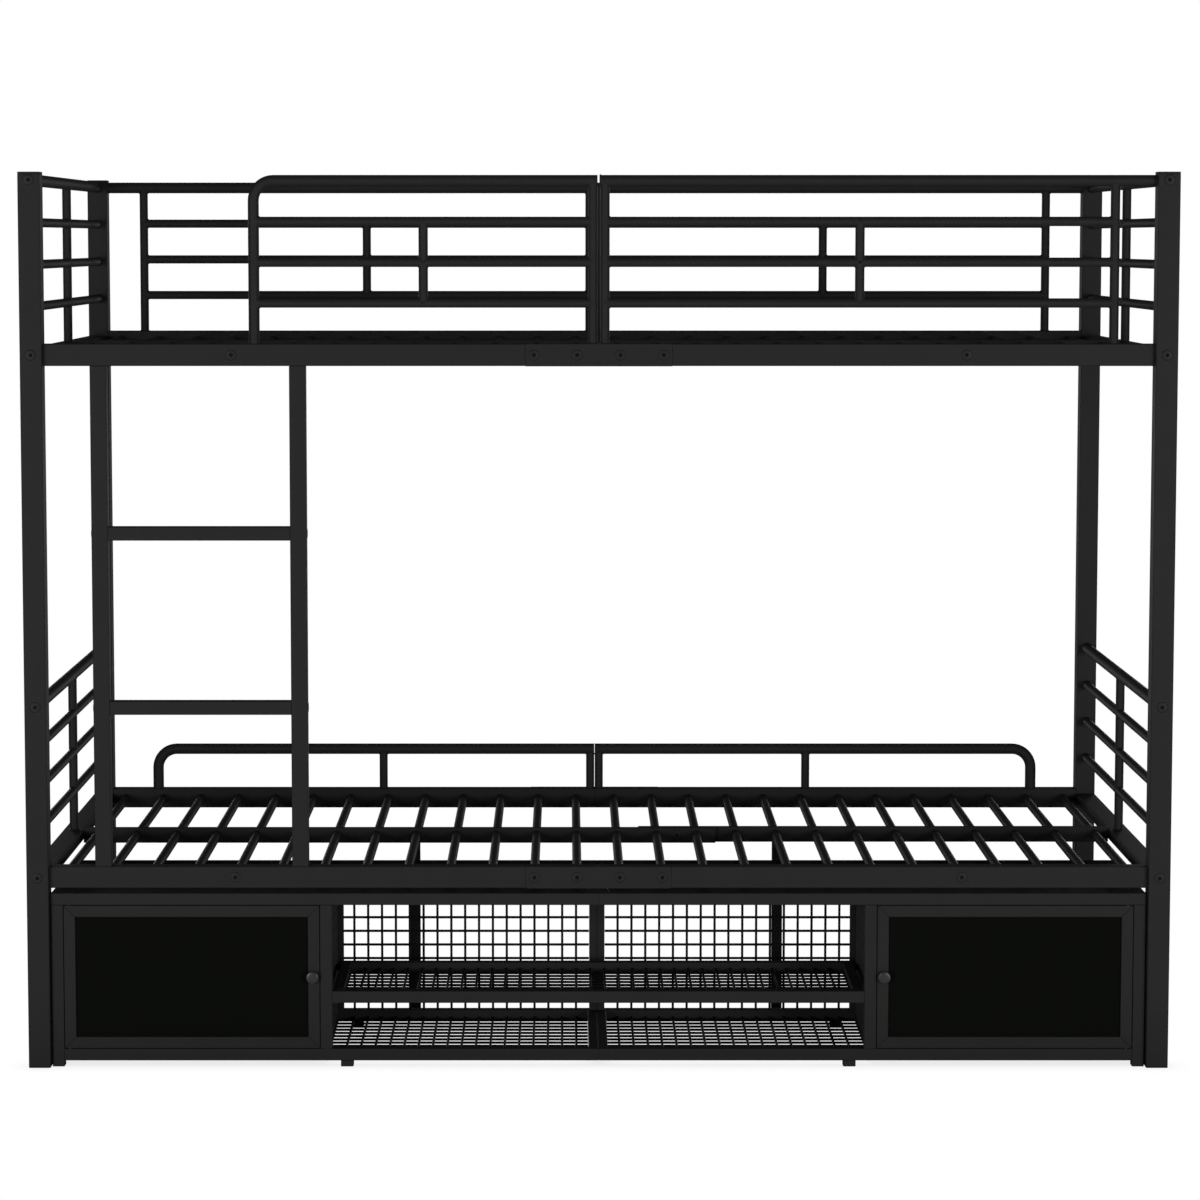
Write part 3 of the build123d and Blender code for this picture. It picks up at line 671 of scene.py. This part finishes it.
def build_panels():
    """Thin sheets of the cabinets and the unit's top."""
    nodes = ["storage_top_panels"] + [f"cabinet_panels_{side}" for side in SIDES]
    for node in nodes:
        bm = bmesh.new()
        for low, high in separate_boxes(node):
            axis = longest_axis(low, high)
            rounded_block(bm, *limits_of(low, high), axis, SHEET_ROUNDING)
        # The sheets take the darker powder of painted shade
        make_piece(f"{node}_coated", bm, SHADED_SHEET_POWDER, node)


def build_meshes():
    """Round wires, a little wider across than the square ones of the CAD model."""
    for node in ("storage_back_mesh", "storage_floor_mesh", "shelf_mesh"):
        bm = bmesh.new()
        for low, high in separate_boxes(node):
            round_from_box(bm, low, high, WIRE_STEPS, WIRE_SWELL)
        # The wires take the darker powder of painted shade
        make_piece(f"{node}_coated", bm, SHADED_WIRE_POWDER, node)


def build_shelf():
    x, (front, back), z = box_limits("shelf_frame")
    bm = bmesh.new()
    for y in ((front, front + STORE_TUBE), (back - STORE_TUBE, back)):
        rounded_block(bm, x, y, z, 0, SMALL_TUBE_CORNER)
    for side in SIDES.values():
        side_x = span(side, x[1] - SHELF_SIDE_WIDTH, x[1])
        rounded_block(bm, side_x, (front + STORE_TUBE, back - STORE_TUBE), z, 1, SMALL_TUBE_CORNER)
    make_piece("shelf_frame_coated", bm, POWDER, "shelf_frame")
    bm = bmesh.new()
    for low, high in separate_boxes("shelf_spacers"):
        middle = (low + high) / 2
        start, end = middle.copy(), middle.copy()
        start.x, end.x = low.x, high.x
        round_bar(bm, start, end, (high.z - low.z) / 2, 0)
    make_piece("shelf_spacers_turned", bm, BOLT_BLACK, "shelf_spacers")


def mitred_bar(bm, outer, inner, y, long_axis):
    """One bar of a door frame: as long as outer on its outer edge and as inner on its inner edge."""
    other = 2 if long_axis == 0 else 0
    (low, high), (near, far) = outer
    centre = Vector((0, 0, 0))
    size = Vector((0, 0, 0))
    for axis, limits in ((long_axis, (low, high)), (other, (near, far)), (1, y)):
        centre[axis] = (limits[0] + limits[1]) / 2
        size[axis] = abs(limits[1] - limits[0])
    verts = add_block(bm, centre, size)
    for vert in verts:
        if abs(vert.co[other] - far) < abs(vert.co[other] - near):
            vert.co[long_axis] = inner[0] if vert.co[long_axis] < centre[long_axis] else inner[1]
    round_edges(bm, edges_of(verts), DOOR_EDGE, DOOR_EDGE_STEPS)


def build_door(side_name, side):
    body = f"door_{side_name}"
    node = f"door_frame_{side_name}"
    x, y, z = box_limits(node)
    inner_x = (x[0] + DOOR_FRAME_WIDTH, x[1] - DOOR_FRAME_WIDTH)
    inner_z = (z[0] + DOOR_FRAME_WIDTH, z[1] - DOOR_FRAME_WIDTH)
    bm = bmesh.new()
    mitred_bar(bm, (x, (z[1], inner_z[1])), inner_x, y, 0)
    mitred_bar(bm, (x, (z[0], inner_z[0])), inner_x, y, 0)
    mitred_bar(bm, (z, (x[0], inner_x[0])), inner_z, y, 2)
    mitred_bar(bm, (z, (x[1], inner_x[1])), inner_z, y, 2)
    make_piece(f"{node}_coated", bm, POWDER, node, body)
    flat_node(f"door_panel_{side_name}", 0, SHEET_ROUNDING, DOOR_FILM, body)
    build_knob(f"door_knob_{side_name}", body)


def build_knob(node, body):
    """A turned knob: a waisted stem and a softly domed head."""
    low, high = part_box(node)
    radius = (high[0] - low[0]) / 2
    proud = high[1] - low[1]
    bm = bmesh.new()
    verts = [bm.verts.new((share * radius, 0, height * proud)) for share, height in KNOB_OUTLINE]
    edges = [bm.edges.new(pair) for pair in zip(verts, verts[1:])]
    bmesh.ops.spin(
        bm,
        geom=verts + edges,
        cent=(0, 0, 0),
        axis=(0, 0, 1),
        angle=math.tau,
        steps=KNOB_STEPS,
        use_merge=True,
    )
    bmesh.ops.remove_doubles(bm, verts=bm.verts, dist=MERGE_DISTANCE)
    rim = [edge for edge in bm.edges if edge.is_boundary]
    bmesh.ops.contextual_create(bm, geom=rim)
    centre = ((low[0] + high[0]) / 2, high[1], (low[2] + high[2]) / 2)
    bmesh.ops.transform(
        bm,
        verts=bm.verts,
        matrix=Matrix.Translation(centre) @ Matrix.Rotation(math.radians(90), 4, "X"),
    )
    bmesh.ops.recalc_face_normals(bm, faces=bm.faces)
    make_piece(f"{node}_turned", bm, KNOB_LACQUER, node, body, KNOB_SMOOTH_ANGLE)


def bolt(bm, seat, axis, direction, radius, height):
    """A low domed head with a hexagonal socket, with a thin ring around its foot and the socket's floor in the
    darker black of painted shade.
    """
    made = bmesh.ops.create_circle(bm, segments=BOLT_STEPS, radius=radius * SHADE_RING_SHARE)
    verts = list(made["verts"])
    all_verts = list(verts)
    loop = edges_of(verts)
    share, rise = SHADE_RING_SHARE, 0.0
    # The first rings are painted shade: a darker black ring at the foot of the head
    for ring, (next_share, next_rise) in enumerate(BOLT_OUTLINE):
        loop, verts = grow_ring(bm, loop, PAINTED_SHADE_SLOT if ring < PAINTED_SHADE_RINGS else HEAD_SLOT)
        bmesh.ops.scale(bm, vec=(next_share / share, next_share / share, 1), verts=verts)
        bmesh.ops.translate(bm, vec=(0, 0, (next_rise - rise) * height), verts=verts)
        all_verts += verts
        share, rise = next_share, next_rise
    for drop in (0.0, SOCKET_DEPTH):
        loop, verts = grow_ring(bm, loop, HEAD_SLOT)
        for vert in verts:
            angle = math.atan2(vert.co.y, vert.co.x)
            off = (angle + math.pi / 6) % (math.pi / 3) - math.pi / 6
            reach = SOCKET_WIDTH * radius / math.cos(off)
            vert.co = (reach * math.cos(angle), reach * math.sin(angle), vert.co.z - drop)
        all_verts += verts
    # The floor of the socket is painted shade in the same darker black
    for face in bmesh.ops.contextual_create(bm, geom=loop)["faces"]:
        face.material_index = PAINTED_SHADE_SLOT
    turn = axis_turn(axis)
    if direction < 0:
        turn = Matrix.Rotation(math.pi, 4, "Y" if axis == 0 else "X") @ turn
    bmesh.ops.transform(bm, verts=all_verts, matrix=Matrix.Translation(seat) @ turn)


def build_bolts():
    """Bolt heads in place of the CAD discs, each facing away from what it fastens."""
    ladder_middle = (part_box("ladder_rail_outer")[0][0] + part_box("ladder_rail_inner")[1][0]) / 2
    away_from = {
        "post_bolts": Vector((0, 0, 0)),
        "rail_bolts": Vector((0, 0, 0)),
        "ladder_bolts": Vector((ladder_middle, 0, 0)),
        "storage_bolts": Vector((0, 0, STORE_FOOT_GAP)),
    }
    for node, origin in away_from.items():
        bm = bmesh.new()
        for low, high in separate_boxes(node):
            size = [high[i] - low[i] for i in range(3)]
            axis = size.index(min(size))
            middle = (low + high) / 2
            direction = 1 if middle[axis] > origin[axis] else -1
            seat = middle.copy()
            seat[axis] = low[axis] if direction > 0 else high[axis]
            bolt(bm, seat, axis, direction, sorted(size)[1] / 2, min(size))
        bmesh.ops.recalc_face_normals(bm, faces=bm.faces)
        piece = make_piece(f"{node}_domed", bm, BOLT_BLACK, node)
        # The second slot is the darker black of painted shade on the rings and the socket floors
        piece.data.materials.append(PAINTED_SHADE_BLACK)


def paint_pins():
    for side in SIDES:
        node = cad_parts[f"hinge_pins_{side}"]
        node.data.materials.clear()
        node.data.materials.append(PIN_STEEL)


def build_world():
    """White behind the bed for the camera, and a dim room around the lamps for everything else."""
    world = bpy.data.worlds.new("studio")
    bpy.context.scene.world = world
    world.use_nodes = True
    tree = world.node_tree
    tree.nodes.clear()
    rays = add_node(tree, "ShaderNodeLightPath")
    seen = add_node(
        tree,
        "ShaderNodeMath",
        {"operation": "MAXIMUM"},
        {0: rays.outputs["Is Camera Ray"], 1: rays.outputs["Is Transmission Ray"]},
    )
    room = add_node(tree, "ShaderNodeBackground", {"Color": linear("#f4f4f4"), "Strength": ROOM_LEVEL})
    plain = add_node(tree, "ShaderNodeBackground", {"Color": (1, 1, 1, 1), "Strength": 1.0})
    mix = add_node(
        tree,
        "ShaderNodeMixShader",
        links={0: seen.outputs[0], 1: room.outputs[0], 2: plain.outputs[0]},
    )
    add_node(tree, "ShaderNodeOutputWorld", links={"Surface": mix.outputs[0]})


def build_floor():
    """A white floor that the camera sees as bright as the background, with a painted shadow from ambient
    occlusion that darkens it only at the feet.
    """
    bm = bmesh.new()
    bmesh.ops.create_grid(bm, x_segments=1, y_segments=1, size=FLOOR_REACH)
    mesh = bpy.data.meshes.new("floor")
    bm.to_mesh(mesh)
    bm.free()
    floor = add_object("floor", mesh)
    material, tree = new_material("white_floor")
    rays = add_node(tree, "ShaderNodeLightPath")
    near = add_node(tree, "ShaderNodeAmbientOcclusion", {"Distance": SHADOW_REACH, "samples": 8})
    shade = add_node(
        tree, "ShaderNodeMapRange", {"To Min": SHADOW_DEPTH, "To Max": 1.0}, {"Value": near.outputs["AO"]}
    )
    seen = add_node(
        tree, "ShaderNodeEmission", {"Color": (1, 1, 1, 1)}, {"Strength": shade.outputs["Result"]}
    )
    lit = add_node(tree, "ShaderNodeBsdfDiffuse", {"Color": linear("#dcdcdc")})
    mix = add_node(
        tree,
        "ShaderNodeMixShader",
        links={0: rays.outputs["Is Camera Ray"], 1: lit.outputs[0], 2: seen.outputs[0]},
    )
    add_node(tree, "ShaderNodeOutputMaterial", links={"Surface": mix.outputs[0]})
    mesh.materials.append(material)


def area_light(name, place, target, size, power):
    """A lamp with a rectangular face, turned towards a point and hidden from the camera."""
    data = bpy.data.lights.new(name, "AREA")
    data.shape = "RECTANGLE"
    data.size, data.size_y = size
    data.energy = power
    light = add_object(name, data)
    light.location = place
    light.rotation_euler = (Vector(target) - Vector(place)).to_track_quat("-Z", "Y").to_euler()
    light.visible_camera = False


def build_lights():
    """Softboxes in front and weaker ones behind, and a glow off the floor.

    Those in front stand far enough out to leave the front faces matt.
    """
    x, y, z = SOFTBOX_PLACE
    for name, side in SIDES.items():
        area_light(f"{name}_softbox", (side * x, y, z), LAMP_TARGET, SOFTBOX_SIZE, SOFTBOX_POWER)
        area_light(f"{name}_back_softbox", (side * x, -y, z), LAMP_TARGET, SOFTBOX_SIZE, BACK_SOFTBOX_POWER)
    x, y, z = FLOOR_GLOW_PLACE
    area_light("floor_glow", (x, y, z), (x, y, z + 1), FLOOR_GLOW_SIZE, FLOOR_GLOW_POWER)


def build_camera():
    data = bpy.data.cameras.new("camera")
    data.lens = CAMERA_LENS
    data.sensor_width = SENSOR_WIDTH
    data.sensor_fit = "HORIZONTAL"
    data.shift_x, data.shift_y = CAMERA_SHIFT
    data.clip_end = CAMERA_REACH
    camera = add_object("camera", data)
    camera.location = CAMERA_PLACE
    camera.rotation_euler = (math.radians(90 - CAMERA_DOWN), 0, 0)
    bpy.context.scene.camera = camera


build_camera()
build_world()
build_floor()
build_lights()
bpy.context.scene.view_settings.view_transform = "Standard"

build_posts()
build_post_ends()
build_rails()
build_slats()
build_end_frames()
build_guards()
build_ladder()
for side_name, side in SIDES.items():
    build_storage_frame(side_name, side)
    build_door(side_name, side)
build_panels()
build_meshes()
build_shelf()
build_bolts()
paint_pins()
